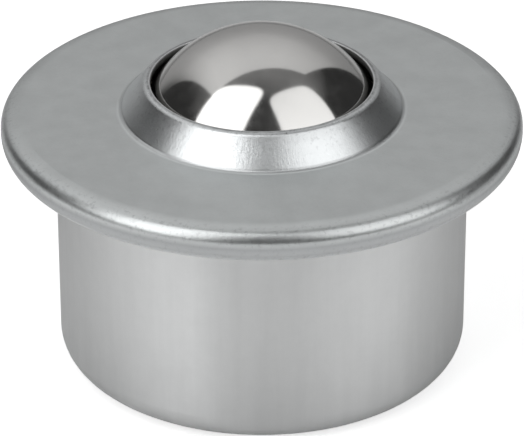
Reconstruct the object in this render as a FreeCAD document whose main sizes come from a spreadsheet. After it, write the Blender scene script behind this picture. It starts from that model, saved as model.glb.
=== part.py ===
import FreeCAD, Part
import math
import os
import Sketcher

# Ball transfer unit: a load ball of 22 mm rolls on a bed of small bearing balls in a hardened cup.
# The cup stands in a drawn sheet-steel housing, and a pressed cover with a raised lip, crimped round
# the housing's flange, keeps the load ball in. The origin is at the centre of the housing's flat
# bottom, and +Z runs up through the ball. The unit is sized from the inside out: the balls set the
# cup, the cup sets the housing, and the housing sets the cover.

# Driving sizes: millimetres, degrees and one count. The bends are inner radii, but for the shoulder's.
SIZES = {
    "ball_diameter": 22.225,
    "bearing_ball_diameter": 3.97,
    "running_clearance": 0.04,
    "bearing_ball_gap": 0.03,
    "bed_rings": 5,
    "cup_wall": 1.4375,
    "cup_floor": 2.7375,
    "cup_rise": 1.6,
    "cup_rim_chamfer": 0.3,
    "cup_foot_clearance": 0.1,
    "cup_fit_gap": 0.05,
    "housing_sheet": 1.2,
    "corner_bend": 1.2,
    "neck_bend": 0.8,
    "seat_rise": 0.9,
    "flange_reach": 4.65,
    "flange_edge_gap": 1.05,
    "cover_sheet": 1.0,
    "edge_drop": 0.475,
    "edge_fall": 18.7,
    "edge_bend": 1.2,
    "rim_bend": 0.15,
    "hem_bend": 0.6,
    "hem_gap": 0.35,
    "foot_bend": 0.5,
    "cone_angle": 50.0,
    "lip_rise": 2.63,
    "lip_land": 0.55,
    "lip_clearance": 0.3,
    "lip_flat": 0.12,
    "shoulder_bend": 0.7,
    "cut_edge_radius": 0.1,
    "felt_clearance": 0.2,
    "felt_inset": 0.4,
}

# Radii, from the ball outwards
BALL_RADIUS = "Sizes.ball_diameter / 2"
BEARING_RADIUS = "Sizes.bearing_ball_diameter / 2"
PITCH_RADIUS = f"({BALL_RADIUS} + Sizes.running_clearance + {BEARING_RADIUS})"
SEAT_RADIUS = f"({PITCH_RADIUS} + {BEARING_RADIUS} + Sizes.running_clearance)"
CUP_RADIUS = f"({SEAT_RADIUS} + Sizes.cup_wall)"
BORE_RADIUS = f"({CUP_RADIUS} + Sizes.cup_fit_gap)"
BODY_RADIUS = f"({BORE_RADIUS} + Sizes.housing_sheet)"
FLANGE_RADIUS = f"({BODY_RADIUS} + Sizes.flange_reach)"
HOUSING_EDGE = f"({FLANGE_RADIUS} - Sizes.cover_sheet - Sizes.flange_edge_gap)"
HEM_RADIUS = f"({BODY_RADIUS} + Sizes.neck_bend + Sizes.hem_gap)"

# Heights, from the housing's bottom upwards
CUP_FOOT = "Sizes.housing_sheet"
BALL_HEIGHT = f"({CUP_FOOT} + Sizes.cup_floor + {SEAT_RADIUS})"
CUP_RIM = f"({BALL_HEIGHT} + Sizes.cup_rise)"
HEM_BOTTOM = f"({BALL_HEIGHT} + Sizes.seat_rise)"
HEM_TOP = f"({HEM_BOTTOM} + Sizes.cover_sheet)"
COVER_UNDERSIDE = f"({HEM_TOP} + Sizes.housing_sheet)"
COVER_TOP = f"({COVER_UNDERSIDE} + Sizes.cover_sheet)"
LIP_TOP = f"({COVER_TOP} + Sizes.lip_rise)"
LIP_LOW_EDGE = f"({LIP_TOP} - Sizes.lip_land)"

# The lip's land keeps its clearance from the ball at its lower edge, and under it the sheet falls
# away from the ball. Outside, the cone runs down and out from the shoulder.
LIP_REACH = f"({BALL_RADIUS} + Sizes.lip_clearance)"
OPENING_RADIUS = f"sqrt({LIP_REACH} ^ 2 - ({LIP_LOW_EDGE} - {BALL_HEIGHT}) ^ 2)"
HALF_TURN = "tan(Sizes.cone_angle / 2)"
SHOULDER_RADIUS = f"({OPENING_RADIUS} + Sizes.lip_flat + Sizes.shoulder_bend * {HALF_TURN})"
CONE_FOOT_RADIUS = f"({SHOULDER_RADIUS} + Sizes.lip_rise / tan(Sizes.cone_angle))"
FOOT_INSIDE_RADIUS = f"({CONE_FOOT_RADIUS} - Sizes.cover_sheet * {HALF_TURN})"

# Near its rim the plate falls a little before it turns down, and the sheet keeps its thickness there
EDGE_RADIUS = f"({FLANGE_RADIUS} - Sizes.edge_drop / tan(Sizes.edge_fall))"
EDGE_INSIDE_RADIUS = f"({EDGE_RADIUS} - Sizes.cover_sheet * tan(Sizes.edge_fall / 2))"
RIM_HEIGHT = f"({COVER_TOP} - Sizes.edge_drop)"
FALL_SHIFT = "Sizes.cover_sheet * (1 / cos(Sizes.edge_fall) - tan(Sizes.edge_fall))"
RIM_INSIDE_HEIGHT = f"({RIM_HEIGHT} - {FALL_SHIFT})"

doc = FreeCAD.newDocument("ball_transfer_unit")


def make_sheet():
    """Put the driving sizes into a spreadsheet, one alias to a row."""
    sheet = doc.addObject("Spreadsheet::Sheet", "Sizes")
    for row, (alias, value) in enumerate(SIZES.items(), start=1):
        sheet.set(f"A{row}", alias)
        sheet.set(f"B{row}", str(value))
        sheet.setAlias(f"B{row}", alias)
    doc.recompute()
    return sheet


sheet = make_sheet()


def value_of(expression):
    """The number that an expression of the sheet's sizes gives now, angles in degrees."""
    result = sheet.evalExpression(expression)
    return float(getattr(result, "Value", result))


def new_sketch(body, name):
    """A sketch on the body's own XZ plane, so that its x is the radius and its y the height."""
    sketch = body.newObject("Sketcher::SketchObject", name)
    plane = next(item for item in body.Origin.OriginFeatures if item.Role == "XZ_Plane")
    sketch.AttachmentSupport = [(plane, "")]
    sketch.MapMode = "FlatFace"
    return sketch


def bind(sketch, constraint, name, expression):
    """Add a dimension to the sketch and tie it to the sheet."""
    index = sketch.addConstraint(constraint)
    sketch.renameConstraint(index, name)
    sketch.setExpression(f"Constraints.{name}", expression)


def place_point(sketch, geometry, end, name, radius, height):
    """Hold a point of the sketch at a radius and a height, or on an axis where one of them is 0."""
    if radius == "0":
        sketch.addConstraint(Sketcher.Constraint("PointOnObject", geometry, end, -2))
    else:
        across = Sketcher.Constraint("DistanceX", -1, 1, geometry, end, value_of(radius))
        bind(sketch, across, f"{name}_radius", radius)
    if height == "0":
        sketch.addConstraint(Sketcher.Constraint("PointOnObject", geometry, end, -1))
    else:
        upward = Sketcher.Constraint("DistanceY", -1, 1, geometry, end, value_of(height))
        bind(sketch, upward, f"{name}_height", height)


def bend_arc(corner, before, after, radius):
    """The arc that rounds a corner, its entry and exit points, and whether it turns left."""
    to_before = (before - corner).normalize()
    to_after = (after - corner).normalize()
    half = to_before.getAngle(to_after) / 2
    middle = (to_before + to_after).normalize()
    centre = corner + middle * (radius / math.sin(half))
    entry = corner + to_before * (radius / math.tan(half))
    leave = corner + to_after * (radius / math.tan(half))
    turns_left = (corner - before).cross(after - corner).z > 0
    first, last = (entry, leave) if turns_left else (leave, entry)
    start = math.atan2(first.y - centre.y, first.x - centre.x)
    end = math.atan2(last.y - centre.y, last.x - centre.x)
    circle = Part.Circle(centre, FreeCAD.Vector(0, 0, 1), radius)
    return Part.ArcOfCircle(circle, start, end), entry, leave, turns_left


def draw_outline(sketch, corners):
    """Draw a closed outline. Each corner is its name, radius, height and bend, as expressions."""
    points = [FreeCAD.Vector(value_of(radius), value_of(height), 0)
              for _, radius, height, _ in corners]
    entries = list(points)
    exits = list(points)
    arcs = {}
    for index, (_, _, _, bend) in enumerate(corners):
        if bend:
            after = points[(index + 1) % len(points)]
            shaped = bend_arc(points[index], points[index - 1], after, value_of(bend))
            arc, entries[index], exits[index], turns_left = shaped
            arcs[index] = (sketch.addGeometry(arc), turns_left)

    lines = [sketch.addGeometry(Part.LineSegment(exits[index], entries[(index + 1) % len(points)]))
             for index in range(len(points))]

    for index, (name, radius, height, bend) in enumerate(corners):
        line_in = lines[index - 1]
        line_out = lines[index]
        if not bend:
            sketch.addConstraint(Sketcher.Constraint("Coincident", line_in, 2, line_out, 1))
            place_point(sketch, line_out, 1, name, radius, height)
            continue
        corner = sketch.addGeometry(Part.Point(points[index]), True)
        arc, turns_left = arcs[index]
        entry, leave = (1, 2) if turns_left else (2, 1)
        sketch.addConstraint(Sketcher.Constraint("PointOnObject", corner, 1, line_in))
        sketch.addConstraint(Sketcher.Constraint("PointOnObject", corner, 1, line_out))
        sketch.addConstraint(Sketcher.Constraint("Tangent", line_in, 2, arc, entry))
        sketch.addConstraint(Sketcher.Constraint("Tangent", arc, leave, line_out, 1))
        place_point(sketch, corner, 1, name, radius, height)
        rounding = Sketcher.Constraint("Radius", arc, value_of(bend))
        bind(sketch, rounding, f"{name}_bend", bend)


def turned_body(label, corners):
    """A body of one full revolution of an outline about the unit's axis."""
    body = doc.addObject("PartDesign::Body", label)
    sketch = new_sketch(body, f"{label}_profile")
    draw_outline(sketch, corners)
    turn = body.newObject("PartDesign::Revolution", f"{label}_turn")
    turn.Profile = sketch
    turn.ReferenceAxis = (sketch, ["V_Axis"])
    turn.Angle = 360
    body.Tip = turn
    return body


def make_housing():
    """Deep-drawn cup of one sheet thickness, with a flat flange at its mouth."""
    neck_inside = "(Sizes.neck_bend + Sizes.housing_sheet)"
    corner_outside = "(Sizes.corner_bend + Sizes.housing_sheet)"
    return turned_body("housing", [
        ("bottom_centre", "0", "0", None),
        ("bottom_corner", BODY_RADIUS, "0", corner_outside),
        ("neck", BODY_RADIUS, HEM_TOP, "Sizes.neck_bend"),
        ("flange_low", HOUSING_EDGE, HEM_TOP, None),
        ("flange_high", HOUSING_EDGE, COVER_UNDERSIDE, None),
        ("mouth", BORE_RADIUS, COVER_UNDERSIDE, neck_inside),
        ("floor_corner", BORE_RADIUS, "Sizes.housing_sheet", "Sizes.corner_bend"),
        ("floor_centre", "0", "Sizes.housing_sheet", None),
    ])


def make_cover():
    """Pressed ring: a lip and cone round the ball, a flat plate, and a hem folded round the
    housing's flange and under it."""
    foot_underside = "(Sizes.foot_bend + Sizes.cover_sheet)"
    edge_outside = "(Sizes.edge_bend + Sizes.cover_sheet)"
    rim_outside = "(Sizes.rim_bend + Sizes.cover_sheet)"
    hem_outside = "(Sizes.hem_bend + Sizes.cover_sheet)"
    rim_inside = f"({FLANGE_RADIUS} - Sizes.cover_sheet)"
    return turned_body("cover", [
        ("lip_edge", OPENING_RADIUS, LIP_TOP, "Sizes.cut_edge_radius"),
        ("lip_low_edge", OPENING_RADIUS, LIP_LOW_EDGE, None),
        ("foot_inside", FOOT_INSIDE_RADIUS, COVER_UNDERSIDE, foot_underside),
        ("edge_inside", EDGE_INSIDE_RADIUS, COVER_UNDERSIDE, "Sizes.edge_bend"),
        ("rim_inside_high", rim_inside, RIM_INSIDE_HEIGHT, "Sizes.rim_bend"),
        ("rim_inside_low", rim_inside, HEM_TOP, "Sizes.hem_bend"),
        ("hem_edge_high", HEM_RADIUS, HEM_TOP, None),
        ("hem_edge_low", HEM_RADIUS, HEM_BOTTOM, "Sizes.cut_edge_radius"),
        ("rim_low", FLANGE_RADIUS, HEM_BOTTOM, hem_outside),
        ("rim_high", FLANGE_RADIUS, RIM_HEIGHT, rim_outside),
        ("edge", EDGE_RADIUS, COVER_TOP, edge_outside),
        ("foot", CONE_FOOT_RADIUS, COVER_TOP, "Sizes.foot_bend"),
        ("shoulder", SHOULDER_RADIUS, LIP_TOP, "Sizes.shoulder_bend"),
    ])


def draw_seat(sketch):
    """Half of the cup's hollow: a quarter circle for the spherical seat, and a straight wall."""
    radius = value_of(SEAT_RADIUS)
    low = value_of("Sizes.cup_floor")
    top = value_of(f"{CUP_RIM} - {CUP_FOOT}")
    centre = FreeCAD.Vector(0, low + radius, 0)
    rim_centre = FreeCAD.Vector(0, top, 0)
    rim_edge = FreeCAD.Vector(radius, top, 0)
    circle = Part.Circle(centre, FreeCAD.Vector(0, 0, 1), radius)
    axis = sketch.addGeometry(Part.LineSegment(FreeCAD.Vector(0, low, 0), rim_centre))
    rim = sketch.addGeometry(Part.LineSegment(rim_centre, rim_edge))
    wall = sketch.addGeometry(Part.LineSegment(rim_edge, centre + FreeCAD.Vector(radius, 0, 0)))
    seat = sketch.addGeometry(Part.ArcOfCircle(circle, -math.pi / 2, 0))
    sketch.addConstraint([
        Sketcher.Constraint("Coincident", axis, 2, rim, 1),
        Sketcher.Constraint("Coincident", rim, 2, wall, 1),
        Sketcher.Constraint("Coincident", wall, 2, seat, 2),
        Sketcher.Constraint("Coincident", seat, 1, axis, 1),
        Sketcher.Constraint("PointOnObject", axis, 1, -2),
        Sketcher.Constraint("PointOnObject", axis, 2, -2),
        Sketcher.Constraint("PointOnObject", seat, 3, -2),
        Sketcher.Constraint("Horizontal", rim),
        Sketcher.Constraint("Vertical", wall),
        Sketcher.Constraint("Horizontal", seat, 3, seat, 2),
    ])
    bind(sketch, Sketcher.Constraint("Radius", seat, radius), "seat_radius", SEAT_RADIUS)
    bind(sketch, Sketcher.Constraint("DistanceY", -1, 1, axis, 1, low),
         "seat_low", "Sizes.cup_floor")
    bind(sketch, Sketcher.Constraint("DistanceY", -1, 1, axis, 2, top),
         "rim_height", f"{CUP_RIM} - {CUP_FOOT}")


def make_ball_cup():
    """Turned and hardened block that stands on the housing's floor and carries the ball bed."""
    foot_chamfer = "(Sizes.corner_bend + Sizes.cup_foot_clearance)"
    rim_height = f"({CUP_RIM} - {CUP_FOOT})"
    body = turned_body("ball_cup", [
        ("foot_centre", "0", "0", None),
        ("foot_edge", f"{CUP_RADIUS} - {foot_chamfer}", "0", None),
        ("wall_low", CUP_RADIUS, foot_chamfer, None),
        ("wall_high", CUP_RADIUS, f"{rim_height} - Sizes.cup_rim_chamfer", None),
        ("rim_edge", f"{CUP_RADIUS} - Sizes.cup_rim_chamfer", rim_height, None),
        ("rim_centre", "0", rim_height, None),
    ])
    sketch = new_sketch(body, "seat_profile")
    draw_seat(sketch)
    seat = body.newObject("PartDesign::Groove", "seat_cut")
    seat.Profile = sketch
    seat.ReferenceAxis = (sketch, ["V_Axis"])
    seat.Angle = 360
    body.Tip = seat
    body.setExpression("Placement.Base.z", CUP_FOOT)
    return body


def make_felt_seal():
    """Felt ring that lies on the cup's rim under the cover and wipes the ball."""
    bore = f"({BALL_RADIUS} + Sizes.felt_clearance)"
    outside = f"({CUP_RADIUS} - Sizes.felt_inset)"
    thickness = f"({COVER_UNDERSIDE} - {CUP_RIM})"
    body = turned_body("felt_seal", [
        ("low_inner", bore, "0", None),
        ("low_outer", outside, "0", None),
        ("high_outer", outside, thickness, None),
        ("high_inner", bore, thickness, None),
    ])
    body.setExpression("Placement.Base.z", CUP_RIM)
    return body


def make_ball(label, radius, centre):
    """A ball whose centre is given as three expressions."""
    ball = doc.addObject("Part::Sphere", label)
    ball.setExpression("Radius", radius)
    for axis, place in zip("xyz", centre):
        ball.setExpression(f"Placement.Base.{axis}", place)
    return ball


def make_bearing_balls():
    """The ball bed: one ball at the bottom of the seat, and full rings of balls up its side."""
    spacing = "(Sizes.bearing_ball_diameter + Sizes.bearing_ball_gap)"
    digits = 6
    balls = []
    for ring in range(int(SIZES["bed_rings"])):
        tilt = f"({ring} * asin({spacing} / {PITCH_RADIUS}))"
        ring_radius = f"({PITCH_RADIUS} * sin({tilt}))"
        height = f"{BALL_HEIGHT} - {PITCH_RADIUS} * cos({tilt})"
        count = 1
        if ring:
            half_pitch = value_of(f"asin({spacing} / 2 / {ring_radius})")
            count = math.floor(round(180 / half_pitch, digits))
        for place in range(count):
            turn = f"({place} * 360 deg / {count})"
            centre = (f"{ring_radius} * cos({turn})", f"{ring_radius} * sin({turn})", height)
            balls.append(make_ball(f"bearing_ball_{len(balls) + 1:02d}", BEARING_RADIUS, centre))
    return balls


parts = [make_housing(), make_cover(), make_ball_cup(), make_felt_seal()]
parts.append(make_ball("load_ball", BALL_RADIUS, ("0", "0", BALL_HEIGHT)))
parts += make_bearing_balls()
doc.recompute()

for item in doc.Objects:
    if {"Invalid", "Error"} & set(item.State):
        raise RuntimeError(f"{item.Label} failed to compute: {item.State}")
for part in parts:
    if part.Shape.isNull() or not part.Shape.isValid() or len(part.Shape.Solids) != 1:
        raise RuntimeError(f"{part.Label} is not one valid solid")

os.makedirs("parts", exist_ok=True)
for part in parts:
    part.Shape.exportStep(f"parts/{part.Label}.step")
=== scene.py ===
import math

import bpy
from mathutils import Matrix, Vector

# Ball transfer unit: a polished load ball in a zinc-plated, pressed sheet-steel housing and cover.
# Lengths are in metres, in the part's own frame. Materials work in millimetres, where that is said.

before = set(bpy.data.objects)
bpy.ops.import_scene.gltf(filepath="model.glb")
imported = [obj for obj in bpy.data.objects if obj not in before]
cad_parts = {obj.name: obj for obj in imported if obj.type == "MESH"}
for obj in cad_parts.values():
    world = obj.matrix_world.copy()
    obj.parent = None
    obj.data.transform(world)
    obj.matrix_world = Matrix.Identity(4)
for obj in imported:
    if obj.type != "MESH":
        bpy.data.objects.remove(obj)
bpy.context.view_layer.update()

# Camera: the photograph's viewing angle, worked out from the outlines of the unit
CAMERA_PLACE = (0.0, -0.28483, 0.16873)
CAMERA_PITCH = math.radians(28.782)
CAMERA_ROLL = math.radians(-0.1245)
CAMERA_LENS = 255.0
CAMERA_SENSOR = 36.0
CAMERA_NEAR = 0.01

# Softboxes: two in front, one to each side of the camera, each with its centre and two half edges.
# Rise is its level from one end to the other, and taper is how far its outline draws in on either side.
SOFTBOXES = {
    "softbox_left": {
        "centre": (-0.395, -0.215, 0.539), "along": (0.171, 0.190, 0.423), "side": (0.286, -0.117, -0.063),
        "radiance": 2.15, "rise": (1.0, 0.72), "taper": (1.24, 0.95),
    },
    "softbox_right": {
        "centre": (0.425, -0.188, 0.522), "along": (-0.083, 0.129, 0.408), "side": (0.280, 0.180, 0.006),
        "radiance": 1.45, "rise": (1.0, 0.66), "taper": (1.13, 0.96),
    },
}
SOFTBOX_SQUARENESS = 5.0
SOFTBOX_EDGE = (0.85, 1.15)

# Floor: white paper, which fades into a grey table, and whose front half shines a little in metal
FLOOR_SIZE = 3.0
FLOOR_FADE = (0.08, 0.35)
FLOOR_WHITE = (0.65, 0.85)
FLOOR_SHEEN = 0.36
SHEEN_RING = (0.018, 0.036)
SHEEN_FRONT = (-0.018, 0.030)

# Room: a dark shell, with a faint glow overhead and to the back
ROOM_RADIUS = 2.2
ROOM_SEGMENTS = 48
ROOM_RINGS = 24
ROOM_LEVEL = 0.034
ROOM_GLOW = 0.17
ROOM_GLOW_RISE = (0.62, 0.84)
ROOM_GLOW_DEPTH = (-0.30, 0.12)
ROOM_GLOW_FRONT = 0.08
WORLD_LEVELS = (0.3, 1.0)

# Sweep: a lit sheet behind the unit. Each edge has its x at the floor and at the top, the y of its top,
# and how far it bulges. The levels go by height, as a share of the top, and by x.
SWEEP_BACK = 1.40
SWEEP_TOP = 1.20
SWEEP_ROWS = 24
SWEEP_COLUMNS = 8
SWEEP_EDGES = {"left": (-1.72, -0.96, -0.07, 0.0), "right": (0.93, 0.715, 0.405, 0.235)}
SWEEP_BOW = 0.072
SWEEP_LEVELS = ((0.0, 0.31), (0.22, 0.345), (0.37, 0.385), (0.5, 0.435), (0.68, 0.56), (0.8, 0.625),
                (0.95, 0.70), (1.0, 0.71))
SWEEP_POWER = 1.12
SWEEP_SIDES = ((-1.55, 0.14), (-1.40, 0.32), (-1.25, 0.59), (-1.10, 0.79), (-0.95, 0.90), (-0.75, 1.0),
               (-0.50, 0.98), (-0.20, 0.893), (0.30, 0.893), (1.30, 0.67))

# Bands of the cover over which its finish changes and over which light and shade are painted, in
# millimetres from the axis, from the lip outwards
MM_PER_M = 1000.0
# Painted highlight on the lip's cut edge, inside this band
LIP_EDGE_HIGHLIGHT = (9.66, 9.72)
LIP_SCUFF_INNER = (9.70, 9.76)
LIP_SCUFF_OUTER = (9.84, 10.0)
LIP_UNDERSIDE = (9.5, 12.0)
# Painted shade on the lip's shoulder, which gives way to the brighter cone face across this band
LIP_TO_CONE = (9.7, 10.8)
LIP_PITS = (10.2, 12.0)
# Painted shade in the crease at the cone's foot, between these two bands
CREASE_INNER = (11.98, 12.08)
CREASE_OUTER = (12.28, 12.40)
CONE_FOOT = (12.0, 12.6)
CONE_SUGAR = (12.0, 12.8)
PLATE_END = (20.6, 21.4)
RIM_START = (20.9, 21.5)
RIM_PITS = (21.0, 21.6)

# Bands of the cover by height, in millimetres from the housing's bottom
# Painted highlight where the rim turns under, and painted shade up the rim's side
RIM_PAINTED_HIGHLIGHT_HEIGHTS = (20.4, 20.9)
RIM_PAINTED_SHADE_HEIGHTS = (20.4, 21.9)
RIM_TOP = (21.6, 22.1)
# Painted shade under the lip: darkest below this band, lighter above it
UNDER_LIP_SHADE_HEIGHTS = (25.25, 25.75)

# How far up a face looks, from 0 at the side to 1 straight up, while the painted shade under the lip fades
# out
FACING_UP = (0.1, 0.7)

# Tones, as sRGB levels from 0 to 255
TONES = {
    "plate_dull": (205, 208, 208), "plate_bright": (212, 215, 215),
    # The cone's lip tone is painted shade; its face tone is brighter, partly from ironing and partly
    # painted light
    "cone_lip_painted_shade": (206, 208, 209), "cone_face_ironed_and_painted_light": (240, 243, 244),
    # Rim tones: the darker one is painted shade, and the brightest one is a painted highlight where the rim
    # turns under
    "rim_low": (202, 204, 205), "rim_high": (160, 162, 163), "rim_underside_painted_highlight": (243, 245, 246),
    # The crease tone on this line is painted shade
    "cover_mark": (232, 234, 235), "cover_pit": (150, 151, 153), "crease_painted_shade": (126, 127, 128),
    # The lip's edge tone on this line is a painted highlight
    "lip_scuff": (96, 97, 98), "lip_edge": (222, 223, 224),
    # Painted shade under the lip, darker deeper down
    "under_lip_shade_deep": (72, 72, 71), "under_lip_shade_at_lip": (150, 151, 150),
    "housing_dull": (212, 213, 213), "housing_bright": (219, 220, 220), "housing_mark": (228, 229, 230),
    "ball_dull": (209, 208, 206), "ball_bright": (214, 213, 211),
    "bearing_greased": (196, 192, 184), "bearing_bare": (214, 212, 208),
    "cup_dark": (122, 120, 119), "cup_stained": (150, 146, 140),
    "felt_deep": (120, 114, 102), "felt_fibre": (176, 169, 155),
    "paper_dull": (222, 222, 222), "paper_bright": (228, 228, 228), "table": (170, 170, 170),
}
WHITE = (1.0, 1.0, 1.0, 1.0)

# Textures: the features per millimetre, the detail and the roughness of each noise
TEXTURES = {
    "cover_mottle": (0.35, 4.0, 0.6), "cover_grain": (4.5, 4.0, 0.75), "cover_pits": (3.0, 2.0, 0.6),
    "cover_scuffs": (1.6, 3.0, 0.6), "cover_sugar": (5.0, 1.0, 0.5),
    "housing_mottle": (0.25, 4.0, 0.6), "housing_grain": (4.5, 3.0, 0.7),
    "ball_haze": (0.6, 4.0, 0.6), "ball_wave": (0.2, 2.0, 0.5),
    "bearing_film": (1.2, 3.0, 0.6), "cup_stain": (0.3, 4.0, 0.6), "paper_fibre": (0.5, 3.0, 0.6),
}

# Textures on stretched coordinates: the scale, the detail, the roughness and, for felt, the distortion.
# Each layer of fibres has its stretch and its turn in radians.
DRAWN_LINES = (1.0, 3.0, 0.7)
DRAWN_LINES_PER_TURN = 420.0
DRAWN_LINES_RISE = 1.2
WALL_STREAKS = (1.0, 5.0, 0.6)
WALL_STREAKS_PER_TURN = 90.0
WALL_STREAKS_RISE = 0.05
TURNING_RINGS = (4.0, 3.0, 0.6)
TURNING_STRETCH = (0.02, 0.02, 1.0)
FIBRES = (1.6, 5.0, 0.7, 0.6)
FIBRE_LAYERS = (((1.0, 5.0, 5.0), 0.4), ((5.0, 1.0, 5.0), 0.9))

# The part of a noise's range that a change runs over
MIDDLE = (0.35, 0.65)
WIDE = (0.3, 0.7)
STREAKED = (0.38, 0.62)
PITTED = (0.54, 0.70)
SCUFFED = (0.38, 0.66)
HAZY = (0.42, 0.70)
FIBROUS = (0.4, 0.75)

# Scratches of each piece: the direction in radians, the share of cells that hold one, and the cells'
# length and width in millimetres. A scratch reaches out from its middle by a share of its cell.
SCRATCHES = {
    "cover": ((0.5, 0.06, 7.0, 0.5), (-1.0, 0.05, 5.0, 0.5)),
    "housing": ((0.9, 0.05, 4.0, 0.5),),
    "ball": ((0.3, 0.14, 3.0, 0.15), (1.7, 0.12, 3.0, 0.15)),
}
SCRATCH_REACH = 0.11

# How strongly each feature shows
COVER_MARKS = 0.35
LIP_PIT_LEVELS = (0.32, 0.04)
RIM_PIT_LEVEL = 0.34
SCUFF_LEVEL = 0.75
SCUFF_PATCHES = (0.35, 0.85)
CREASE_SHADE_LEVEL = 0.34
UNDER_LIP_LEVELS = (1.0, 0.9)
SUGAR_LEVELS = (1.0, 0.08)
SUGAR_ON_RIM = 1.3
HOUSING_MARKS = 0.25
STREAK_SHARE = 0.4

# Roughness of each finish, and what is added to it
COVER_ROUGHNESS = (0.28, 0.32)
COVER_GRAIN_ROUGHNESS = 0.04
PLATE_ROUGHNESS = 0.08
UNDER_LIP_ROUGHNESS = 0.25
RIM_ROUGHNESS = 0.045
HOUSING_ROUGHNESS = (0.34, 0.40)
HOUSING_GRAIN_ROUGHNESS = 0.02
BALL_ROUGHNESS = (0.085, 0.11)
HAIRLINE_ROUGHNESS = 0.10
BLOOM_ROUGHNESS = (0.34, 0.42)
BLOOM_SHARE = (0.008, 0.085)
BLOOM_ON_HAIRLINES = 0.5
BEARING_ROUGHNESS = (0.06, 0.18)
CUP_ROUGHNESS = (0.22, 0.36)
FELT_ROUGHNESS = 0.95
FELT_SHEEN = 0.3

# The housing's wall spreads light up and down: how much, and the direction as a share of a full turn
WALL_ANISOTROPY = 0.85
QUARTER_TURN = 0.25

# Relief: the height of each bump, in metres
RELIEF = {
    "cover_grain": 0.000012, "cover_sugar": 0.0000065, "cover_drawn": 0.000010, "cover_marks": 0.000006,
    "housing_streaks": 0.000007, "housing_grain": 0.000010,
    "ball_wave": 0.000004, "ball_hairlines": 0.000001,
    "bearing_film": 0.000004, "cup_rings": 0.000010, "felt_fibres": 0.00012,
}


def linear_tone(name):
    """A named tone as a linear colour."""
    def linear(level):
        share = level / 255
        return share / 12.92 if share <= 0.04045 else ((share + 0.055) / 1.055) ** 2.4
    red, green, blue = TONES[name]
    return (linear(red), linear(green), linear(blue), 1.0)


def add(tree, kind, inputs=None, **settings):
    """Add a node, set its attributes, and set or link its inputs."""
    made = tree.nodes.new(kind)
    for name, setting in settings.items():
        setattr(made, name, setting)
    for name, value in (inputs or {}).items():
        if isinstance(value, bpy.types.NodeSocket):
            tree.links.new(value, made.inputs[name])
        else:
            made.inputs[name].default_value = value
    return made


def new_material(name):
    """An empty node material, its tree, and its output node."""
    material = bpy.data.materials.new(name)
    material.use_nodes = True
    tree = material.node_tree
    tree.nodes.clear()
    return material, tree, tree.nodes.new("ShaderNodeOutputMaterial")


def object_place(tree):
    """Where a point is on its object, in metres."""
    return add(tree, "ShaderNodeTexCoord").outputs["Object"]


def millimetres(tree, stretch=(1.0, 1.0, 1.0), turn=0.0):
    """Where a point is in millimetres, stretched and turned about the unit's axis."""
    scale = tuple(MM_PER_M * factor for factor in stretch)
    mapping = {"Vector": object_place(tree), "Rotation": (0.0, 0.0, turn), "Scale": scale}
    return add(tree, "ShaderNodeMapping", mapping).outputs["Vector"]


def vector_math(tree, operation, inputs):
    """A step of vector arithmetic, as its node."""
    return add(tree, "ShaderNodeVectorMath", inputs, operation=operation)


def components(tree, vector):
    """A vector's X, Y and Z."""
    return add(tree, "ShaderNodeSeparateXYZ", {"Vector": vector}).outputs


def from_axis(tree):
    """The distance from the unit's axis, in millimetres."""
    return vector_math(tree, "LENGTH", {0: millimetres(tree, (1.0, 1.0, 0.0))}).outputs["Value"]


def round_the_axis(tree, per_turn, along):
    """Seam-free coordinates for streaks that run up and down a round wall."""
    place = object_place(tree)
    flat = vector_math(tree, "MULTIPLY", {0: place, 1: (1.0, 1.0, 0.0)})
    facing = vector_math(tree, "NORMALIZE", {0: flat.outputs[0]})
    ring = vector_math(tree, "SCALE", {0: facing.outputs[0], "Scale": per_turn / (2 * math.pi)})
    height = vector_math(tree, "MULTIPLY", {0: place, 1: (0.0, 0.0, MM_PER_M * along)})
    return vector_math(tree, "ADD", {0: ring.outputs[0], 1: height.outputs[0]}).outputs[0]


def noise(tree, place, scale, detail, roughness, distortion=0.0):
    """A soft random pattern, from 0 to 1."""
    return add(tree, "ShaderNodeTexNoise",
               {"Vector": place, "Scale": scale, "Detail": detail, "Roughness": roughness,
                "Distortion": distortion}).outputs["Fac"]


def texture(tree, name):
    """A named noise in millimetres."""
    return noise(tree, millimetres(tree), *TEXTURES[name])


def spread(tree, value, low, high, to_low, to_high):
    """Carry a value from one range to another, held at its ends."""
    return add(tree, "ShaderNodeMapRange",
               {"Value": value, "From Min": low, "From Max": high,
                "To Min": to_low, "To Max": to_high}).outputs["Result"]


def rising(tree, value, band):
    """0 below a band and 1 above it."""
    return spread(tree, value, *band, 0.0, 1.0)


def falling(tree, value, band):
    """1 below a band and 0 above it."""
    return spread(tree, value, *band, 1.0, 0.0)


def calculate(tree, operation, first, second=0.0):
    """A step of arithmetic, as its result."""
    return add(tree, "ShaderNodeMath", {0: first, 1: second}, operation=operation).outputs["Value"]


def multiply(tree, first, second):
    return calculate(tree, "MULTIPLY", first, second)


def total(tree, first, *others):
    """The sum of several values."""
    for other in others:
        first = calculate(tree, "ADD", first, other)
    return first


def blend(tree, share, first, second):
    """Blend two colours, each of them a socket or the name of a tone."""
    made = add(tree, "ShaderNodeMix", {"Factor": share}, data_type="RGBA")
    for socket, colour in ((made.inputs[6], first), (made.inputs[7], second)):
        if isinstance(colour, str):
            socket.default_value = linear_tone(colour)
        else:
            tree.links.new(colour, socket)
    return made.outputs[2]


def relief(tree, **heights):
    """The surface's normal under one bump on another, each with its height in RELIEF."""
    normal = None
    for name, height in heights.items():
        made = add(tree, "ShaderNodeBump", {"Height": height, "Distance": RELIEF[name], "Strength": 1.0})
        if normal:
            tree.links.new(normal, made.inputs["Normal"])
        normal = made.outputs["Normal"]
    return normal


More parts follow.
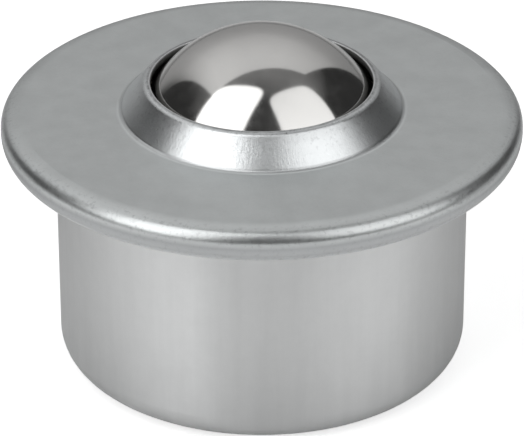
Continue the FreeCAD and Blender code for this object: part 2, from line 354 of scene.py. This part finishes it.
def scratches(tree, turn, density, length, width):
    """Short straight scratches along one direction: 1 on a scratch, 0 elsewhere."""
    place = millimetres(tree, (1.0 / length, 1.0 / width, 1.0 / width), turn)
    cells = add(tree, "ShaderNodeTexVoronoi", {"Vector": place, "Scale": 1.0},
                feature="F1", distance="EUCLIDEAN")
    thin = falling(tree, cells.outputs["Distance"], (0.0, SCRATCH_REACH))
    pick = add(tree, "ShaderNodeSeparateColor", {"Color": cells.outputs["Color"]}).outputs[0]
    chosen = calculate(tree, "GREATER_THAN", pick, 1.0 - density)
    return multiply(tree, thin, chosen)


def marks_of(tree, piece):
    """All the scratches of a piece."""
    first, *others = [scratches(tree, *numbers) for numbers in SCRATCHES[piece]]
    for other in others:
        first = calculate(tree, "MAXIMUM", first, other)
    return first


def metal(tree, colour, roughness, normal):
    """A bare metal shader."""
    return add(tree, "ShaderNodeBsdfPrincipled",
               {"Base Color": colour, "Metallic": 1.0, "Roughness": roughness, "Normal": normal})


def show(tree, output, shader):
    """Send a shader to the output."""
    tree.links.new(shader.outputs[0], output.inputs["Surface"])


def rim_painted_light_and_shade(tree, height):
    """The rolled rim, with painted shade and a painted highlight: darker towards its top, a painted shade
    that dims its reflection, and bright where it turns under, a painted highlight over the dark reflection
    there.
    """
    side = blend(tree, rising(tree, height, RIM_PAINTED_SHADE_HEIGHTS), "rim_low", "rim_high")
    return blend(tree, falling(tree, height, RIM_PAINTED_HIGHLIGHT_HEIGHTS), side, "rim_underside_painted_highlight")


def cover_pits(tree, radius):
    """Fine pits, most of them next to the lip and on the rim."""
    pits = rising(tree, texture(tree, "cover_pits"), PITTED)
    near_lip = spread(tree, radius, *LIP_PITS, *LIP_PIT_LEVELS)
    on_rim = spread(tree, radius, *RIM_PITS, 0.0, RIM_PIT_LEVEL)
    return multiply(tree, pits, calculate(tree, "MAXIMUM", near_lip, on_rim))


def lip_scuffs(tree, radius):
    """A scuffed line round the top of the lip, in patches."""
    line = multiply(tree, rising(tree, radius, LIP_SCUFF_INNER),
                    spread(tree, radius, *LIP_SCUFF_OUTER, SCUFF_LEVEL, 0.0))
    return multiply(tree, line, spread(tree, texture(tree, "cover_scuffs"), *SCUFFED, *SCUFF_PATCHES))


def under_lip_faces(tree, radius):
    """The mask for painted shade on the cone's inner side, found by its faces that don't look up; it makes
    them rougher too.
    """
    under = components(tree, add(tree, "ShaderNodeNewGeometry").outputs["True Normal"])["Z"]
    under_lip = multiply(tree, falling(tree, under, FACING_UP),
                     spread(tree, radius, *LIP_UNDERSIDE, *UNDER_LIP_LEVELS))
    return multiply(tree, under_lip, falling(tree, radius, CONE_FOOT))


def cover_tone(tree, radius, mottle, marks, under_lip):
    """The cover's colour: plate, cone and rim, with painted light and shade on the cone, the rim, the
    crease, the lip's edge and under the lip, and then the marks of making and of use.
    """
    height = components(tree, millimetres(tree))["Z"]
    plate = blend(tree, rising(tree, mottle, MIDDLE), "plate_dull", "plate_bright")
    # Painted light on the cone: its lip is a painted shade, and its face is brighter, partly from ironing
    # and partly painted light
    cone = blend(tree, rising(tree, radius, LIP_TO_CONE), "cone_lip_painted_shade", "cone_face_ironed_and_painted_light")
    tone = blend(tree, falling(tree, radius, CONE_FOOT), plate, cone)
    # Painted shade and a painted highlight on the rim
    tone = blend(tree, falling(tree, height, RIM_TOP), tone, rim_painted_light_and_shade(tree, height))
    tone = blend(tree, multiply(tree, marks, COVER_MARKS), tone, "cover_mark")
    tone = blend(tree, cover_pits(tree, radius), tone, "cover_pit")
    tone = blend(tree, lip_scuffs(tree, radius), tone, "lip_scuff")
    # Painted highlight: a bright line on the lip's cut edge
    tone = blend(tree, falling(tree, radius, LIP_EDGE_HIGHLIGHT), tone, "lip_edge")
    # Painted shade: a dark ring in the crease at the cone's foot
    crease_painted_shade = multiply(tree, spread(tree, radius, *CREASE_INNER, 0.0, CREASE_SHADE_LEVEL),
                      falling(tree, radius, CREASE_OUTER))
    tone = blend(tree, crease_painted_shade, tone, "crease_painted_shade")
    # Painted shade on the faces under the lip, darker deeper down
    return blend(tree, under_lip, tone, blend(tree, rising(tree, height, UNDER_LIP_SHADE_HEIGHTS), "under_lip_shade_deep", "under_lip_shade_at_lip"))


def cover_roughness(tree, radius, mottle, grain, under_lip):
    """Roughest on the plate, on the rim and under the lip."""
    on_plate = multiply(tree, rising(tree, radius, CONE_FOOT), falling(tree, radius, PLATE_END))
    return total(tree, spread(tree, mottle, *WIDE, *COVER_ROUGHNESS),
                 spread(tree, grain, *WIDE, -COVER_GRAIN_ROUGHNESS, COVER_GRAIN_ROUGHNESS),
                 multiply(tree, on_plate, PLATE_ROUGHNESS),
                 multiply(tree, under_lip, UNDER_LIP_ROUGHNESS),
                 spread(tree, radius, *RIM_START, 0.0, RIM_ROUGHNESS))


def cover_relief(tree, radius, grain, marks):
    """Grain, the sugary relief of stretched sheet on cone and rim, drawing lines and scratches."""
    stretched = calculate(tree, "MAXIMUM", spread(tree, radius, *CONE_SUGAR, *SUGAR_LEVELS),
                          spread(tree, radius, *RIM_START, 0.0, SUGAR_ON_RIM))
    drawn = round_the_axis(tree, DRAWN_LINES_PER_TURN, DRAWN_LINES_RISE)
    return relief(tree, cover_grain=grain,
                  cover_sugar=multiply(tree, texture(tree, "cover_sugar"), stretched),
                  cover_drawn=noise(tree, drawn, *DRAWN_LINES),
                  cover_marks=marks)


def cover_material():
    """Satin zinc plate on the pressed cover: bright on the cone, partly ironed and partly painted light,
    and satin on the flange; painted shade and highlights on the rim, in the crease and under the lip.
    """
    material, tree, output = new_material("zinc_plated_cover")
    radius = from_axis(tree)
    mottle = texture(tree, "cover_mottle")
    grain = texture(tree, "cover_grain")
    marks = marks_of(tree, "cover")
    under_lip = under_lip_faces(tree, radius)
    show(tree, output, metal(tree, cover_tone(tree, radius, mottle, marks, under_lip),
                             cover_roughness(tree, radius, mottle, grain, under_lip),
                             cover_relief(tree, radius, grain, marks)))
    return material


def housing_material():
    """Satin zinc plate on the drawn housing: its wall spreads light up and down, not sideways."""
    material, tree, output = new_material("zinc_plated_housing")
    mottle = texture(tree, "housing_mottle")
    wall = round_the_axis(tree, WALL_STREAKS_PER_TURN, WALL_STREAKS_RISE)
    streaks = noise(tree, wall, *WALL_STREAKS)
    grain = texture(tree, "housing_grain")
    mixed = total(tree, multiply(tree, mottle, 1.0 - STREAK_SHARE), multiply(tree, streaks, STREAK_SHARE))
    tone = blend(tree, rising(tree, mixed, STREAKED), "housing_dull", "housing_bright")
    marks = multiply(tree, marks_of(tree, "housing"), HOUSING_MARKS)
    roughness = total(tree, spread(tree, mottle, *WIDE, *HOUSING_ROUGHNESS),
                      spread(tree, grain, *WIDE, -HOUSING_GRAIN_ROUGHNESS, HOUSING_GRAIN_ROUGHNESS))
    shader = metal(tree, blend(tree, marks, tone, "housing_mark"), roughness,
                   relief(tree, housing_streaks=streaks, housing_grain=grain))
    shader.inputs["Anisotropic"].default_value = WALL_ANISOTROPY
    shader.inputs["Anisotropic Rotation"].default_value = QUARTER_TURN
    around = add(tree, "ShaderNodeTangent", direction_type="RADIAL", axis="Z")
    tree.links.new(around.outputs["Tangent"], shader.inputs["Tangent"])
    show(tree, output, shader)
    return material


def ball_material():
    """Polished steel with the faint smudges and hairlines of a ball that has rolled a little."""
    material, tree, output = new_material("polished_load_ball")
    haze = texture(tree, "ball_haze")
    hairlines = marks_of(tree, "ball")
    tone = blend(tree, rising(tree, haze, WIDE), "ball_dull", "ball_bright")
    roughness = total(tree, spread(tree, haze, *WIDE, *BALL_ROUGHNESS),
                      multiply(tree, hairlines, HAIRLINE_ROUGHNESS))
    surface = relief(tree, ball_wave=texture(tree, "ball_wave"), ball_hairlines=hairlines)
    clear = metal(tree, tone, roughness, surface)
    bloom = metal(tree, tone, spread(tree, haze, *WIDE, *BLOOM_ROUGHNESS), surface)
    share = total(tree, spread(tree, haze, *HAZY, *BLOOM_SHARE),
                  multiply(tree, hairlines, BLOOM_ON_HAIRLINES))
    show(tree, output, add(tree, "ShaderNodeMixShader",
                           {0: share, 1: clear.outputs[0], 2: bloom.outputs[0]}))
    return material


def bearing_material():
    """Bearing balls: bright steel under a thin film of grease."""
    material, tree, output = new_material("greased_bearing_balls")
    film = texture(tree, "bearing_film")
    tone = blend(tree, rising(tree, film, MIDDLE), "bearing_greased", "bearing_bare")
    roughness = spread(tree, film, *MIDDLE, *BEARING_ROUGHNESS)
    show(tree, output, metal(tree, tone, roughness, relief(tree, bearing_film=film)))
    return material


def cup_material():
    """Hardened cup: dark heat-treated steel with turning rings in its seat and on its wall."""
    material, tree, output = new_material("hardened_cup")
    rings = noise(tree, millimetres(tree, TURNING_STRETCH), *TURNING_RINGS)
    tone = blend(tree, rising(tree, texture(tree, "cup_stain"), MIDDLE), "cup_dark", "cup_stained")
    roughness = spread(tree, rings, *WIDE, *CUP_ROUGHNESS)
    show(tree, output, metal(tree, tone, roughness, relief(tree, cup_rings=rings)))
    return material


def felt_material():
    """Pressed wool felt: matted fibres in two directions, with a soft sheen."""
    material, tree, output = new_material("wool_felt")
    along, across = (noise(tree, millimetres(tree, *layer), *FIBRES) for layer in FIBRE_LAYERS)
    fibres = calculate(tree, "MAXIMUM", along, across)
    tone = blend(tree, rising(tree, fibres, FIBROUS), "felt_deep", "felt_fibre")
    show(tree, output, add(tree, "ShaderNodeBsdfPrincipled",
                           {"Base Color": tone, "Roughness": FELT_ROUGHNESS, "Sheen Weight": FELT_SHEEN,
                            "Normal": relief(tree, felt_fibres=fibres)}))
    return material


def ray_kinds(tree):
    """Two switches: 1 for rays from the camera, and 1 for those that metal or glass sends on."""
    path = add(tree, "ShaderNodeLightPath").outputs
    sent_on = calculate(tree, "MAXIMUM", path["Is Glossy Ray"], path["Is Transmission Ray"])
    return path["Is Camera Ray"], sent_on


def floor_material():
    """White paper on a grey table: it renders white and keeps the unit's shadow."""
    material, tree, output = new_material("white_paper")
    place = object_place(tree)
    distance = vector_math(tree, "LENGTH", {0: place}).outputs["Value"]
    far = rising(tree, distance, FLOOR_FADE)
    sheet = blend(tree, texture(tree, "paper_fibre"), "paper_dull", "paper_bright")
    paper = add(tree, "ShaderNodeBsdfDiffuse", {"Color": blend(tree, far, sheet, "table")})
    seen, sent_on = ray_kinds(tree)
    white = multiply(tree, seen, spread(tree, far, 0.0, 1.0, *FLOOR_WHITE))
    front = spread(tree, components(tree, place)["Y"], *SHEEN_FRONT, FLOOR_SHEEN, 0.0)
    ring = multiply(tree, rising(tree, distance, SHEEN_RING), falling(tree, far, (0.0, 1.0)))
    strength = total(tree, white, multiply(tree, sent_on, multiply(tree, front, ring)))
    glow = add(tree, "ShaderNodeEmission", {"Color": WHITE, "Strength": strength})
    show(tree, output, add(tree, "ShaderNodeAddShader", {0: paper.outputs[0], 1: glow.outputs[0]}))
    return material


def mesh_object(name, points, faces, material, smooth=False):
    """A new object from points and faces, with its material."""
    mesh = bpy.data.meshes.new(name)
    mesh.from_pydata(points, [], faces)
    mesh.materials.append(material)
    for face in mesh.polygons:
        face.use_smooth = smooth
    made = bpy.data.objects.new(name, mesh)
    bpy.context.scene.collection.objects.link(made)
    return made


def make_floor():
    """A square sheet of paper under the unit."""
    half = FLOOR_SIZE / 2
    corners = [(-half, -half, 0), (half, -half, 0), (half, half, 0), (-half, half, 0)]
    floor = mesh_object("paper_floor", corners, [(0, 1, 2, 3)], floor_material())


def level_ramp(tree, value, levels):
    """A level that follows a value: pairs of the value and its level, from low to high."""
    low, high = levels[0][0], levels[-1][0]
    ramp = add(tree, "ShaderNodeValToRGB", {"Fac": rising(tree, value, (low, high))})
    stops = ramp.color_ramp.elements
    for place, level in levels[1:-1]:
        stops.new((place - low) / (high - low)).color = (level, level, level, 1.0)
    for stop, level in ((stops[0], levels[0][1]), (stops[-1], levels[-1][1])):
        stop.color = (level, level, level, 1.0)
    return ramp.outputs["Color"]


def sweep_material():
    """The lit sweep: darker at the floor and brighter overhead, and dim towards its sides."""
    material, tree, output = new_material("lit_sweep")
    place = components(tree, object_place(tree))
    rise = level_ramp(tree, calculate(tree, "DIVIDE", place["Z"], SWEEP_TOP), SWEEP_LEVELS)
    across = multiply(tree, level_ramp(tree, place["X"], SWEEP_SIDES), SWEEP_POWER)
    show(tree, output, add(tree, "ShaderNodeEmission", {"Color": rise, "Strength": across}))
    return material


def bulge_at(share):
    """How far a bulge has come out between two ends: 0 at both, and 1 half way."""
    return 4 * share * (1 - share)


def make_sweep():
    """A sheet that rises from the floor behind the unit and curves over it."""
    points = []
    for row in range(SWEEP_ROWS + 1):
        share = row / SWEEP_ROWS
        turn = math.pi / 2 * share
        for column in range(SWEEP_COLUMNS + 1):
            across = column / SWEEP_COLUMNS
            low, high, front, bulge = (left * (1 - across) + right * across for left, right
                                       in zip(SWEEP_EDGES["left"], SWEEP_EDGES["right"]))
            front += SWEEP_BOW * bulge_at(across)
            points.append((low + (high - low) * share + bulge * bulge_at(share),
                           front + (SWEEP_BACK - front) * math.cos(turn),
                           SWEEP_TOP * math.sin(turn)))
    width = SWEEP_COLUMNS + 1
    faces = [(row * width + column, row * width + column + 1,
              (row + 1) * width + column + 1, (row + 1) * width + column)
             for row in range(SWEEP_ROWS) for column in range(SWEEP_COLUMNS)]
    sweep = mesh_object("lit_sweep", points, faces, sweep_material(), smooth=True)
    sweep.visible_camera = False


def room_material():
    """Nearly black, with a faint glow overhead that is strongest to the back."""
    material, tree, output = new_material("dark_room")
    facing = components(tree, vector_math(tree, "NORMALIZE", {0: object_place(tree)}).outputs[0])
    overhead = multiply(tree, rising(tree, facing["Z"], ROOM_GLOW_RISE),
                        spread(tree, facing["Y"], *ROOM_GLOW_DEPTH, ROOM_GLOW_FRONT, 1.0))
    level = spread(tree, overhead, 0.0, 1.0, ROOM_LEVEL, ROOM_LEVEL + ROOM_GLOW)
    show(tree, output, add(tree, "ShaderNodeEmission", {"Color": WHITE, "Strength": level}))
    return material


def make_room():
    """The dark room round the set, which metal reflects between the lights."""
    bpy.ops.mesh.primitive_uv_sphere_add(segments=ROOM_SEGMENTS, ring_count=ROOM_RINGS, radius=ROOM_RADIUS)
    room = bpy.context.object
    room.name = "dark_room"
    room.data.materials.append(room_material())
    room.visible_camera = False
    room.visible_shadow = False


def soften_lamp(light, rise, taper):
    """Round a rectangular lamp's corners, draw its outline in, and let its light change up its height."""
    light.use_nodes = True
    tree = light.node_tree
    place = components(tree, add(tree, "ShaderNodeNewGeometry").outputs["Parametric"])
    powers = []
    for axis, stretch in (("X", 1.0), ("Y", spread(tree, place["X"], 0.0, 1.0, *taper))):
        out = calculate(tree, "ABSOLUTE", spread(tree, place[axis], 0.0, 1.0, -1.0, 1.0))
        powers.append(calculate(tree, "POWER", multiply(tree, out, stretch), SOFTBOX_SQUARENESS))
    inside = falling(tree, total(tree, *powers), SOFTBOX_EDGE)
    strength = multiply(tree, inside, spread(tree, place["Y"], 0.0, 1.0, *rise))
    tree.links.new(strength, tree.nodes["Emission"].inputs["Strength"])


def make_softboxes():
    """Each softbox is a rectangular lamp: its centre, and its two half edges."""
    for name, box in SOFTBOXES.items():
        along, side = Vector(box["along"]), Vector(box["side"])
        light = bpy.data.lights.new(name, "AREA")
        light.shape = "RECTANGLE"
        light.size, light.size_y = 2 * side.length, 2 * along.length
        light.energy = box["radiance"] * math.pi * light.size * light.size_y
        soften_lamp(light, box["rise"], box["taper"])
        lamp = bpy.data.objects.new(name, light)
        bpy.context.scene.collection.objects.link(lamp)
        right = side.normalized()
        up = (along - along.dot(right) * right).normalized()
        turn = Matrix((right, up, right.cross(up))).transposed().to_4x4()
        lamp.matrix_world = Matrix.Translation(box["centre"]) @ turn
        lamp.visible_camera = False


def make_world():
    """White to the camera and in metal, and a low plain light everywhere else."""
    world = bpy.data.worlds.new("studio")
    bpy.context.scene.world = world
    world.use_nodes = True
    tree = world.node_tree
    tree.nodes.clear()
    output = tree.nodes.new("ShaderNodeOutputWorld")
    seen = calculate(tree, "MAXIMUM", *ray_kinds(tree))
    strength = spread(tree, seen, 0.0, 1.0, *WORLD_LEVELS)
    show(tree, output, add(tree, "ShaderNodeBackground", {"Color": WHITE, "Strength": strength}))


def make_camera():
    """The camera looks along +Y and down, by its pitch."""
    camera = bpy.data.objects.new("camera", bpy.data.cameras.new("camera"))
    bpy.context.scene.collection.objects.link(camera)
    camera.data.lens = CAMERA_LENS
    camera.data.sensor_width = CAMERA_SENSOR
    camera.data.clip_start = CAMERA_NEAR
    turn = Matrix.Rotation(math.pi / 2 - CAMERA_PITCH, 4, "X") @ Matrix.Rotation(CAMERA_ROLL, 4, "Z")
    camera.matrix_world = Matrix.Translation(CAMERA_PLACE) @ turn
    bpy.context.scene.camera = camera


def dress(node, material):
    """Give a CAD node its finish."""
    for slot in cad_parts[node].material_slots:
        slot.material = material


def dress_unit():
    """One finish for each kind of piece."""
    dress("cover", cover_material())
    dress("housing", housing_material())
    dress("load_ball", ball_material())
    dress("ball_cup", cup_material())
    dress("felt_seal", felt_material())
    greased = bearing_material()
    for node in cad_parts:
        if node.startswith("bearing_ball"):
            dress(node, greased)


make_camera()
make_world()
make_floor()
make_sweep()
make_room()
make_softboxes()
dress_unit()
bpy.context.scene.view_settings.view_transform = "Standard"
